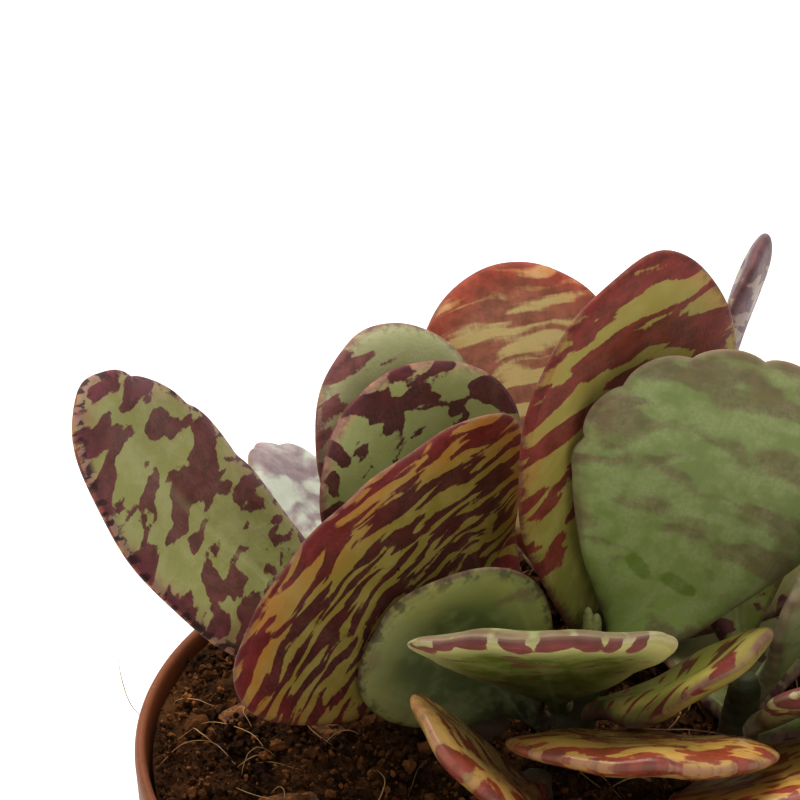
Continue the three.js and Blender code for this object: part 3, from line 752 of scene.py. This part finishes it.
def side_colouring():
    """The colouring of one side of a blade, as a node group: ground, dapple, blotches and a tinted margin
    whose edge line is partly a painted highlight.
    """
    tree = bpy.data.node_groups.new("blade_side", "ShaderNodeTree")
    sockets = {
        "NodeSocketColor": ("Inner", "Outer", "Base", "Light", "Blotch", "Blotch_edge", "Rim"),
        "NodeSocketVector": ("Bands", "Edges"),
        "NodeSocketFloat": ("Band", "Dapple", "Size", "Stretch", "Wander", "Limit", "Soft", "Strength",
                            "Crowd", "Bare", "Specks", "Rim_wide", "Stray", "Steer"),
    }
    for kind, names in sockets.items():
        for name in names:
            tree.interface.new_socket(name, in_out="INPUT", socket_type=kind)
    tree.interface.new_socket("Colour", in_out="OUTPUT", socket_type="NodeSocketColor")
    given = tree.nodes.new("NodeGroupInput").outputs
    bands = given["Bands"]
    split = add(tree, "SeparateXYZ", Vector=given["Edges"]).outputs
    edge, share = split["X"], split["Y"]
    band, rim_wide, size, stray, wander = [
        maths(tree, "MULTIPLY", given[name], MM) for name in ("Band", "Rim_wide", "Size", "Stray", "Wander")
    ]

    # Ground: paler or warmer in a band along the margin, greener at the stalk, dappled all over.
    drift = grain(tree, bands, 130, 2)
    reach = maths(tree, "MULTIPLY_ADD", maths(tree, "SUBTRACT", drift, 0.5), stray, edge)
    inside = between(tree, reach, 0.0, band)
    ground = blend(tree, inside, given["Outer"], given["Inner"])
    ground = blend(tree, between(tree, share, 0.6, 0.12), ground, given["Base"])
    dapple = between(tree, grain(tree, bands, 420, 2, 0.65), 0.38, 0.64)
    ground = blend(tree, maths(tree, "MULTIPLY", dapple, given["Dapple"]), ground, given["Light"])

    # Blotches: bands that run across the blade, wander, and break up in fine lines along it.
    slow = vectors(tree, "SCALE", bands, Scale=SWAY_GRAIN)
    sway = add(tree, "TexNoise", Vector=slow, Scale=1.0, Detail=1.5).outputs["Color"]
    sway = vectors(tree, "SCALE", vectors(tree, "SUBTRACT", sway, (0.5, 0.5, 0.5)), Scale=wander)
    fineness = maths(tree, "DIVIDE", 1.0, size)
    fineness = add(tree, "CombineXYZ", X=fineness, Y=maths(tree, "DIVIDE", fineness, given["Stretch"]), Z=1.0)
    spot = vectors(tree, "MULTIPLY", vectors(tree, "ADD", bands, sway), fineness.outputs[0])
    level = add(tree, "TexNoise", Vector=spot, Scale=1.0, Detail=1.2, Roughness=0.45).outputs["Fac"]
    ragged = add(tree, "TexNoise", Vector=spot, Scale=3.1, Detail=2.0, Roughness=0.6).outputs["Fac"]
    fringe = grain(tree, bands, 3800, 1, 0.5, (5, 1, 0.01))
    for rough, weight in ((ragged, RAGGED_WEIGHT), (fringe, FRINGE_WEIGHT)):
        level = maths(tree, "MULTIPLY_ADD", maths(tree, "SUBTRACT", rough, 0.5), weight, level)
    crowd = maths(tree, "MULTIPLY", between(tree, edge, 4.5 * MM, 0.5 * MM), given["Crowd"])
    bare = maths(tree, "MULTIPLY", between(tree, share, 0.6, 0.15), given["Bare"])
    level = maths(tree, "ADD", level, maths(tree, "SUBTRACT", crowd, bare))
    level = maths(tree, "ADD", level, given["Steer"])
    low = maths(tree, "SUBTRACT", given["Limit"], given["Soft"])
    high = maths(tree, "ADD", given["Limit"], given["Soft"])
    mask = maths(tree, "MULTIPLY", between(tree, level, low, high), given["Strength"])
    mask = maths(tree, "MULTIPLY", mask, between(tree, edge, 0.0, 0.15 * MM, 0.8, 1))
    warm = between(tree, maths(tree, "MULTIPLY_ADD", drift, 5 * MM, edge), 8 * MM, 3 * MM)
    blotch = blend(tree, warm, given["Blotch"], given["Blotch_edge"])
    depth = between(tree, grain(tree, bands, 700, 2, 0.6), 0.3, 0.7, 0.74, 1.2)
    blotch = blend(tree, 1.0, blotch, depth, "MULTIPLY")
    # Margin: a broken pale line on the very edge, under the blotches, partly the margin's own tint and partly
    # a painted highlight on its rounded edge, and dark specks close to it.
    rim = between(tree, edge, rim_wide, 0.0, 0, 0.9)
    rim = maths(tree, "MULTIPLY", rim, between(tree, grain(tree, bands, 900, 1, 0.6), 0.35, 0.55, 0.35, 1))
    colour = blend(tree, mask, blend(tree, rim, ground, given["Rim"]), blotch)
    specks = between(tree, grain(tree, bands, 1100, 2, 0.6), 0.5, 0.58)
    specks = maths(tree, "MULTIPLY", specks, between(tree, edge, 1.3 * MM, 0.3 * MM))
    colour = blend(tree, maths(tree, "MULTIPLY", specks, given["Specks"]), colour, SPECK)
    fill(tree, tree.nodes.new("NodeGroupOutput").inputs["Colour"], colour)
    return tree


SIDE_COLOURING = side_colouring()


def off_spot(tree, place, along, across, long, wide, tilt):
    """How far a place is from the middle of a long spot, 1 at its outline. Millimetres and degrees."""
    spot = add(tree, "Mapping", vector_type="TEXTURE", Vector=place)
    spot.inputs["Location"].default_value = (along * MM, across * MM, 0)
    spot.inputs["Rotation"].default_value = (0, 0, math.radians(tilt))
    spot.inputs["Scale"].default_value = (long * MM, wide * MM, 1e9)
    return vectors(tree, "LENGTH", spot.outputs[0])


def leaf_finish(name, upper, under, blotches=(), marks=(), pull=0.2, wax=0.05, gloss=0.42, shine=0.22,
                coat=0.0, glow=0.18, vein=0.2):
    """Living leaf skin: one look above, one below, pale veins, a film of wax and light through the flesh.
    A blotch or mark has its place along and across the blade, half its length and width, and its tilt."""
    finish, tree = new_finish(name)
    bands = add(tree, "Attribute", attribute_name="blade_bands").outputs["Vector"]
    place = add(tree, "Attribute", attribute_name="blade_place").outputs["Vector"]
    edges = add(tree, "Attribute", attribute_name="blade_edge").outputs["Vector"]
    split = add(tree, "SeparateXYZ", Vector=edges).outputs
    share, fan = split["Y"], split["Z"]
    facing = add(tree, "SeparateXYZ", Vector=place).outputs["Z"]
    over_edge = between(tree, facing, -0.5, 0.5)
    faces_up = maths(tree, "GREATER_THAN", facing, 0.0)
    steer = 0.0
    for spot in blotches:
        steer = maths(tree, "ADD", steer, between(tree, off_spot(tree, place, *spot), 1.5, 0.6, 0, pull))
    side = tree.nodes.new("ShaderNodeGroup")
    side.node_tree = SIDE_COLOURING
    fill(tree, side.inputs["Bands"], bands)
    fill(tree, side.inputs["Edges"], edges)
    fill(tree, side.inputs["Steer"], steer)
    for key, above in upper.items():
        below = under[key]
        if above != below and isinstance(above, tuple):
            above = blend(tree, over_edge, below, above)
        elif above != below:
            above = maths(tree, "MULTIPLY_ADD", faces_up, above - below, below)
        fill(tree, side.inputs[key.capitalize()], above)
    colour = side.outputs["Colour"]

    ribs = maths(tree, "PINGPONG", maths(tree, "MULTIPLY", fan, RIBS), 0.5)
    ribs = between(tree, ribs, 0.07, 0.0)
    ribs = maths(tree, "MULTIPLY", ribs, between(tree, share, 0.95, 0.4, 0, vein))
    colour = blend(tree, ribs, colour, VEIN)
    cloud = grain(tree, bands, 420, 2)
    for spot, tone, strength in marks:
        frayed = maths(tree, "MULTIPLY_ADD", cloud, 0.9, off_spot(tree, place, *spot))
        colour = blend(tree, between(tree, frayed, 1.45, 1.1, 0, strength), colour, tone)

    flesh = grain(tree, place, 2800, 2, 0.7)
    film = maths(tree, "MULTIPLY", between(tree, flesh, 0.3, 0.75), between(tree, cloud, 0.3, 0.7))
    colour = blend(tree, maths(tree, "MULTIPLY", film, wax), colour, WAX)
    relief = maths(tree, "MULTIPLY_ADD", cloud, 2.0, flesh)
    rough = between(tree, cloud, 0.3, 0.7, gloss - 0.06, gloss + 0.08)
    surface(tree, colour, relief, SKIN_RELIEF, Roughness=rough, Coat_Weight=coat, Coat_Roughness=0.18,
            Specular_IOR_Level=shine, Subsurface_Weight=glow, Subsurface_Radius=(1.0, 0.75, 0.3),
            Subsurface_Scale=FLESH_DEPTH)
    return finish


def look(kind, **changes):
    """One of the plant's leaf colourings, with some of its values changed."""
    values = {**LOOKS[kind], **changes}
    return {key: tint(*value) if isinstance(value, tuple) else value for key, value in values.items()}


# The leaf colourings, with lengths in millimetres. The outer colour reaches in from the margin by band, give
# or take stray. A blotch is about size wide and stretch times as long, and wander bends it. It stands where
# the noise is over limit, and soft is how soft its edge is. There are more of them by the margin with crowd,
# and fewer by the stalk with bare. The colour of the line on the very edge, and its width, are partly the
# margin's own tint and partly a painted highlight on its rounded edge.
LOOKS = {
    "green_above": dict(
        inner=(146, 145, 90), outer=(148, 126, 88), base=(120, 128, 62), light=(166, 162, 118),
        blotch=(102, 58, 56), blotch_edge=(104, 50, 58), rim=(148, 108, 100), band=3.0, dapple=0.4,
        size=1.9, stretch=2.0, wander=2.0, limit=0.6, soft=0.02, strength=0.96, crowd=0.06, bare=0.10,
        specks=0.3, rim_wide=0.6, stray=6.0,
    ),
    "glaucous_above": dict(
        inner=(132, 144, 88), outer=(138, 136, 88), base=(150, 168, 94), light=(156, 164, 110),
        blotch=(118, 98, 72), blotch_edge=(120, 84, 76), rim=(158, 138, 112), band=2.0, dapple=0.6,
        size=2.6, stretch=2.0, wander=4.0, limit=0.6, soft=0.09, strength=0.6, crowd=0.05, bare=0.06,
        specks=0, rim_wide=0.35, stray=6.0,
    ),
    "yellow_below": dict(
        inner=(148, 132, 62), outer=(182, 128, 58), base=(124, 118, 52), light=(176, 156, 92),
        blotch=(86, 34, 36), blotch_edge=(120, 38, 42), rim=(134, 92, 84), band=6.0, dapple=0.4,
        size=0.9, stretch=4.6, wander=2.6, limit=0.49, soft=0.02, strength=0.97, crowd=0.0, bare=0.06,
        specks=0.1, rim_wide=0.4, stray=7.0,
    ),
    "red_below": dict(
        inner=(164, 148, 78), outer=(178, 136, 78), base=(122, 124, 62), light=(178, 164, 96),
        blotch=(124, 54, 46), blotch_edge=(132, 50, 48), rim=(136, 84, 72), band=2.5, dapple=0.4,
        size=2.0, stretch=2.4, wander=3.0, limit=0.56, soft=0.02, strength=0.95, crowd=0.02, bare=0.04,
        specks=0.3, rim_wide=0.4, stray=6.0,
    ),
    # Underside of a leaf whose upturned margin faces the light. The cream margin is the leaf's own colour.
    # The dark green inner and stalk colours are painted shade, where the underside turns down away from the
    # light, and the wide pale band that fades into them is painted light on the part that faces it.
    "cream_edge_painted_shade_below": dict(
        inner=(92, 104, 32), outer=(194, 190, 128), base=(68, 86, 12), light=(176, 174, 108),
        blotch=(128, 60, 66), blotch_edge=(130, 60, 68), rim=(212, 202, 164), band=5.5, dapple=0.25,
        size=1.6, stretch=1.6, wander=1.5, limit=0.64, soft=0.03, strength=0.92, crowd=0.0, bare=0.3,
        specks=0, rim_wide=0.5, stray=1.0,
    ),
    "orange_below": dict(
        inner=(190, 150, 72), outer=(192, 146, 80), base=(104, 56, 32), light=(204, 170, 100),
        blotch=(136, 46, 36), blotch_edge=(148, 52, 42), rim=(176, 126, 92), band=2.5, dapple=0.4,
        size=1.4, stretch=1.8, wander=2.0, limit=0.545, soft=0.025, strength=0.92, crowd=0.03, bare=-0.05,
        specks=0.3, rim_wide=0.25, stray=6.0,
    ),
}


def grow_leaf(name, slot, upper, under=None, skin=None, **form):
    """Makes one leaf and its finish, and puts it in place of its solid. One look alone is for both sides."""
    seed = 1 + sum(map(ord, name)) % 97
    piece = blade_mesh(name, seed, **form)
    piece.data.materials.append(leaf_finish("leaf_skin_" + name, upper, under or upper, **(skin or {})))
    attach(piece, "root")
    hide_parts("leaf_" + name)


grow_leaf(
    "left_outer", GREEN_SLOT,
    look("green_above", bare=0.05, crowd=0.09, specks=0.9, stray=8.0, band=3.5, rim=(160, 122, 118),
         rim_wide=1.0),
    look("orange_below", inner=(160, 140, 110), specks=0.9),
    dict(
        vein=0.4,
        blotches=(
            (52.5, -1, 1.6, 0.7, 60), (49, -4, 2.5, 0.8, 80), (45, -5, 2.6, 1.1, 80),
            (43.5, 0.5, 1.4, 1.4, 0), (42.5, 5, 3, 1.1, 100), (48, 6, 2.5, 0.8, 100),
            (38, -6.5, 4.5, 1.6, 105), (38.5, 0, 3.5, 1.6, 90), (34, 5, 5, 1.4, 130),
            (31.5, -8, 4, 1.6, 90), (29, 4, 2.6, 2, 90), (26, 9, 3, 1.1, 130),
        ),
    ),
    root=[-10.4, 5.2, -1.5], azimuth=194, rise=32, bend=29.5, roll=28, length=54, width=22.9,
    cup=0.08, widest=1.55, blunt=0.53, scallop=0.65, lobe=8.4, shift=4.8, toothed=(4, 31), slant=-0.3,
)
grow_leaf(
    "left_low", GLAUCOUS_SLOT,
    look("glaucous_above", inner=(190, 194, 176), outer=(180, 174, 160), light=(204, 206, 194),
         blotch=(140, 116, 122), blotch_edge=(152, 128, 130), strength=0.9, limit=0.5, size=3.0),
    look("glaucous_above", inner=(160, 164, 140)),
    root=[-9.2, 8.0, -1.2], azimuth=139.5, rise=25, bend=14, roll=-27, length=34, width=23,
    scallop=0.6, lobe=6,
)
grow_leaf(
    "left_back", GREEN_SLOT,
    look("green_above", inner=(178, 184, 134), outer=(186, 180, 142), light=(190, 192, 150),
         blotch=(150, 106, 96), blotch_edge=(142, 90, 88), stretch=3.0, size=2.2),
    look("yellow_below"),
    root=[-9.4, 6.0, 0.8], azimuth=143, rise=62, bend=12, roll=3, length=37, width=23.4, cup=0.12,
)
grow_leaf(
    "left_upper", GREEN_SLOT,
    look("green_above", inner=(160, 164, 108), outer=(180, 142, 114), light=(174, 176, 128),
         blotch=(90, 42, 48), blotch_edge=(94, 38, 46), band=1.4, stray=2.0, bare=0.12, limit=0.625),
    look("yellow_below"),
    dict(
        blotches=(
            (29, 3, 3, 1.3, 75), (28.5, -4.5, 3.5, 1.4, 105), (26.5, 1.5, 1.6, 1.2, 0),
            (24, -6, 1.4, 1.2, 0), (25, -9.7, 2, 1.1, 30), (22.5, -12, 2, 1, 45), (27, 9, 1.6, 0.9, 20),
            (24.5, 7, 2.2, 1, 100), (24.5, 10.5, 1.2, 0.9, 0), (22, 12.5, 2, 0.9, 100),
        ),
    ),
    root=[-8.2, 4.6, 4.2], azimuth=158, rise=63, bend=12, roll=24, length=31, width=26, widest=1.55,
)
grow_leaf(
    "left_broad", YELLOW_SLOT,
    look("green_above"), look("yellow_below"), dict(vein=0.06),
    root=[-8.9, 3.0, 3.9], azimuth=214, rise=49, bend=16, roll=-93, length=28.3, width=37.2,
    cup=0.08, widest=1.4,
)


# Leaves of the back shoot. Two tall blades, a red and orange one that glows against the light and a dusky
# mauve one with dark blotches, and two low green ones behind them that lie out towards the rim.
grow_leaf(
    "back_tall", RED_SLOT,
    look("red_below", inner=(220, 200, 140), outer=(206, 140, 88), base=(226, 212, 150),
         light=(224, 204, 152), blotch=(176, 114, 94), blotch_edge=(164, 78, 62), size=1.8,
         stretch=5.0, limit=0.53, soft=0.05, band=5.0, crowd=0.08, specks=0),
    look("red_below"),
    dict(glow=0.3),
    root=[1.2, 13.8, 1.6], azimuth=113, rise=49, bend=16, roll=-14, length=38.5, width=26, cup=0.05,
)
grow_leaf(
    "back_right_tall", GLAUCOUS_SLOT,
    look("glaucous_above", inner=(158, 134, 122), outer=(160, 130, 122), blotch=(104, 66, 72),
         blotch_edge=(110, 72, 78), strength=0.95, limit=0.5, soft=0.03, size=2.0),
    look("red_below", inner=(156, 132, 122), outer=(160, 130, 122), light=(170, 150, 136),
         blotch=(106, 70, 74), blotch_edge=(110, 72, 78), limit=0.48),
    root=[4.0, 13.8, 3.0], azimuth=44, rise=54, bend=13, roll=54, length=41.6, width=21.5,
)
# The looks above and below of the leaves that the viewer doesn't see.
PLAIN = (look("green_above"), look("yellow_below"))
grow_leaf(
    "back_low", GREEN_SLOT, *PLAIN,
    root=[2.2, 13.6, -0.6], azimuth=86, rise=17, bend=14, length=34, width=25,
)
grow_leaf(
    "back_right_low", GREEN_SLOT, *PLAIN,
    root=[3.8, 12.4, 0.2], azimuth=14, rise=26, bend=10, length=33, width=22,
)


# Leaves of the middle stem. Pairs of blades, each pair turned from the one below it: a tall red-banded one,
# a broad grey-green one with deep scallops, and smaller ones that reach out to the front.
grow_leaf(
    "centre_tall", RED_SLOT,
    look("red_below", bare=0.12), look("red_below"),
    dict(
        glow=0.22,
        blotches=(
            (44, -1, 4, 1.4, 90), (41.5, 5, 3, 1.1, 120), (37.5, -4.5, 4.5, 1.8, 85),
            (35, 4.5, 3.5, 1.7, 110), (31.5, 10.5, 2.5, 1.1, 125), (28.5, 7.5, 3.5, 1.1, 125),
            (21, 8, 3.5, 1.3, 125), (15.5, 7, 3, 1.3, 120),
        ),
    ),
    root=[-1.0, 2.2, 3.8], azimuth=184, rise=97, bend=6, roll=62, length=45, width=24,
    cup=0.08, widest=1.3, blunt=0.55, slant=0.6,
)
grow_leaf(
    "centre_right", GLAUCOUS_SLOT,
    look("glaucous_above"),
    skin=dict(
        wax=0.16, vein=0.12, pull=0.13,
        blotches=(
            (34.5, 5.5, 2.5, 1.3, 70), (33, 2, 2.5, 1.2, 20), (26.5, 10.5, 2.5, 1.5, 60),
            (20.5, 9.5, 4, 1, 90), (34, -4, 3, 1.3, 100), (28.5, -5, 2, 1.3, 90),
            (23.5, -7, 2.5, 1.3, 90), (18, -8, 3.5, 1.3, 90),
        ),
        marks=(
            ((13.7, 2.6, 2.0, 0.9, 60), tint(98, 120, 34), 0.55),
            ((13.3, -1.6, 2.2, 0.9, 80), tint(98, 120, 34), 0.55),
        ),
    ),
    root=[1.1, -1.0, 5.6], azimuth=-4, rise=61, bend=15, roll=-96, length=37, width=26,
    cup=0.07, widest=1.63, blunt=0.45, scallop=1.0, lobe=7.0, shift=-2.5, toothed=(-25, 14),
)
# Its underside darkens inward from the cream margin, as painted shade.
grow_leaf(
    "centre_front", GREEN_SLOT,
    look("glaucous_above"), look("cream_edge_painted_shade_below"),
    dict(
        pull=0.32,
        blotches=(
            (24, -9.5, 1, 0.5, 50), (25.5, -8, 1, 0.6, 50), (27, -5.4, 1.5, 1.2, 60),
            (28, -1.8, 1.3, 1.2, 90), (28, 1.8, 1.3, 1.2, 90), (27.3, 4.6, 1, 1.2, 110),
            (26.4, 6.8, 0.7, 1.2, 120), (25, 8.8, 0.9, 1.2, 130), (21, -0.5, 2.6, 0.3, 90),
        ),
    ),
    root=[-2.2, -3.4, 4.5], azimuth=260, rise=46, bend=-7, roll=-6, length=28.5, width=23.6,
    cup=0.08, thick=2.5, scallop=0.4, lobe=5.5,
)
# Both sides are darkened towards the stalk: painted shade, low down between the leaves.
grow_leaf(
    "centre_front_right", YELLOW_SLOT,
    look("yellow_below", inner=(142, 142, 58), outer=(160, 148, 74), blotch=(100, 44, 34),
         blotch_edge=(128, 44, 44), base=(84, 92, 30), size=1.8, stretch=2.6, limit=0.57),
    look("yellow_below", inner=(142, 140, 58), outer=(160, 148, 74), blotch=(92, 44, 34),
         blotch_edge=(128, 48, 46), base=(66, 70, 26), size=2.4, stretch=3.0, limit=0.56),
    root=[0.2, -1.2, 2.5], azimuth=316, rise=26, bend=21, roll=-8, length=24.5, width=15.5, cup=0.07,
)
# Its inner and stalk colours are darkened as painted shade, since this leaf faces the viewer away from the
# light. Only a band along the margin keeps the paler glaucous tone.
grow_leaf(
    "centre_front_left", GLAUCOUS_SLOT,
    look("glaucous_above", inner=(98, 106, 64), outer=(158, 156, 94), base=(60, 66, 42),
         light=(136, 142, 94), rim=(104, 76, 60), limit=0.72, band=5.0, specks=0.5),
    root=[-2.9, 0.0, -0.3], azimuth=207, rise=49, roll=-75, length=24, width=19.6, cup=-0.1, widest=1.55,
)
grow_leaf(
    "centre_low_front", YELLOW_SLOT,
    look("orange_below"), skin=dict(gloss=0.28, shine=0.45, coat=0.45, wax=0.03),
    root=[-0.6, -1.4, -1.5], azimuth=285, rise=35, bend=-15, roll=9, length=31, width=24.8,
    cup=0.04, thick=3,
)


# Leaf of the front stub. A low, ageing blade that has turned tan and yellow and lost its wax, so it shines.
grow_leaf(
    "front_low", YELLOW_SLOT,
    look("orange_below", inner=(200, 164, 96)), skin=dict(gloss=0.28, shine=0.45, coat=0.4, wax=0.03),
    root=[-4.6, -9.0, -1.7], azimuth=243, rise=37.5, roll=31, length=22.5, width=18, cup=0.07, thick=2.6,
)


# Leaves of the right shoot. An old orange one lies low in front, younger green ones stand above it, and
# three more spread out behind.
grow_leaf(
    "right_old", RED_SLOT,
    look("orange_below"), look("orange_below", inner=(190, 134, 98)),
    dict(gloss=0.34, shine=0.4, coat=0.25, wax=0.03),
    root=[14.3, -2.4, -1.5], azimuth=284, rise=22, roll=-12, length=24, width=24, thick=3,
)
# Its dark green inner colour is the same painted shade, with a paler stalk.
grow_leaf(
    "right_front", GREEN_SLOT,
    look("cream_edge_painted_shade_below", limit=0.5, base=(160, 140, 84)),
    root=[15.6, -2.0, 1.0], azimuth=316, rise=41, roll=4, length=23, width=20,
)
grow_leaf(
    "right_upper", GLAUCOUS_SLOT,
    look("glaucous_above", inner=(174, 184, 136), outer=(186, 168, 142), base=(160, 174, 122),
         blotch=(120, 78, 74), rim=(206, 190, 160), rim_wide=0.6, crowd=0.12),
    root=[15.4, -1.0, 2.6], azimuth=2, rise=58, bend=8, roll=36, length=27, width=18, cup=0.12, scallop=0.8,
)
grow_leaf(
    "right_back", GREEN_SLOT, *PLAIN,
    root=[15.1, 0.8, 4.1], azimuth=96, rise=58, bend=6, length=26, width=15.5,
)
grow_leaf(
    "right_low", GREEN_SLOT, *PLAIN,
    root=[15.8, -1.2, -1.0], azimuth=8, rise=12, bend=14, length=31, width=22,
)
grow_leaf(
    "right_back_low", GREEN_SLOT, *PLAIN,
    root=[15.0, -0.2, -1.4], azimuth=86, rise=3, bend=8, length=23, width=17,
)


# Bud. Two tiny new leaves pressed together on the tip of the middle stem, one a little shorter, pale olive
# and still dull with wax.
BUD_FOOT = np.array([0.75, -1.5, 10.5])
BUD_HEIGHT = 3.4
BUD_RADIUS = 0.6
BUD_APART = 0.35
BUD_SIDES = 28
BUD_RINGS = 22
BUD_HARD_ANGLE = 60
bud_points = []
bud_faces = []
for side, height in ((-1, BUD_HEIGHT), (1, BUD_HEIGHT * 0.8)):
    t = np.sin(np.linspace(0, math.pi / 2, BUD_RINGS))
    swell = np.interp(t, [0, 0.15, 0.3, 0.7, 0.92, 1], [0.6, 0.85, 1, 0.85, 0.5, 0.05])
    line = np.stack([swell * BUD_RADIUS, t * height], axis=1)
    points, faces = turned(np.array([[0, 0], *line, [0, height * 1.01]]), BUD_SIDES)
    points[:, 1] *= 0.8
    points[:, 0] += side * BUD_APART * (0.7 + 0.5 * points[:, 2] / height)
    join(bud_points, bud_faces, points + BUD_FOOT, faces)
bud_points = np.array(bud_points) * MM + [0, 0, POT_HEIGHT]
bud_tip = new_piece("bud_tip", bud_points, bud_faces, BUD_HARD_ANGLE)
finish, tree = new_finish("bud_skin")
place = add(tree, "TexCoord").outputs["Object"]
dust = between(tree, grain(tree, place, 1400, 4, 0.65), 0.35, 0.65)
olive = blend(tree, dust, tint(136, 136, 84), tint(166, 164, 112))
surface(tree, olive, dust, 0.05 * MM, Roughness=0.65, Subsurface_Weight=0.15,
        Subsurface_Radius=(1.0, 0.8, 0.3), Subsurface_Scale=1 * MM)
bud_tip.data.materials.append(finish)
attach(bud_tip, "root")
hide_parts("bud")


# Studio. The pot stands on a plain near-white floor under a large soft light above and behind it, with pale
# light from all round. The camera looks down on the leaves at a low angle from the front.
FLOOR_REACH = 5.0
corners = [(x * FLOOR_REACH, y * FLOOR_REACH, 0) for x, y in ((-1, -1), (1, -1), (1, 1), (-1, 1))]
floor = new_piece("floor", corners, [(0, 1, 2, 3)])
finish, tree = new_finish("floor_paper")
place = add(tree, "TexCoord").outputs["Object"]
paper = blend(tree, grain(tree, place, 40, 3), tint(248, 248, 247), tint(252, 252, 251))
surface(tree, paper, Roughness=0.9, Specular_IOR_Level=0.1)
floor.data.materials.append(finish)

ROUND_LIGHT = 0.62
world = bpy.data.worlds.new("studio")
bpy.context.scene.world = world
world.use_nodes = True
background = world.node_tree.nodes["Background"]
background.inputs["Color"].default_value = (1.0, 1.0, 1.0, 1.0)
background.inputs["Strength"].default_value = ROUND_LIGHT


def softbox(name, place, aim, size, power):
    """A square soft light, at a place in metres and aimed at a point."""
    lamp = bpy.data.lights.new(name, "AREA")
    lamp.shape = "SQUARE"
    lamp.size = size
    lamp.energy = power
    holder = bpy.data.objects.new(name, lamp)
    holder.location = place
    holder.rotation_euler = (Vector(aim) - Vector(place)).to_track_quat("-Z", "Y").to_euler()
    bpy.context.scene.collection.objects.link(holder)


plant_middle = (0, 0, POT_HEIGHT + 20 * MM)
softbox("overhead", (-0.15, 0.35, 0.95), plant_middle, 0.7, 12.0)
softbox("front_fill", (0.5, -0.9, 0.5), plant_middle, 0.6, 1.5)

PITCH = math.radians(26)
RANGE = 300 * MM
LEFT_SHIFT = 17.2 * MM
LIFT = 31.1 * MM
LENS = 141.3
SENSOR = 36
ahead = Vector((0, math.cos(PITCH), -math.sin(PITCH)))
upward = Vector((0, math.sin(PITCH), math.cos(PITCH)))
rim_centre = Vector((0, 0, POT_HEIGHT))
camera_data = bpy.data.cameras.new("camera")
camera_data.lens = LENS
camera_data.sensor_width = SENSOR
camera_data.clip_start = 10 * MM
camera = bpy.data.objects.new("camera", camera_data)
camera.location = rim_centre - ahead * RANGE - Vector((LEFT_SHIFT, 0, 0)) + upward * LIFT
camera.rotation_euler = ahead.to_track_quat("-Z", "Y").to_euler()
bpy.context.scene.collection.objects.link(camera)
bpy.context.scene.camera = camera
bpy.context.scene.view_settings.view_transform = "Standard"
bpy.context.scene.view_settings.gamma = 0.86
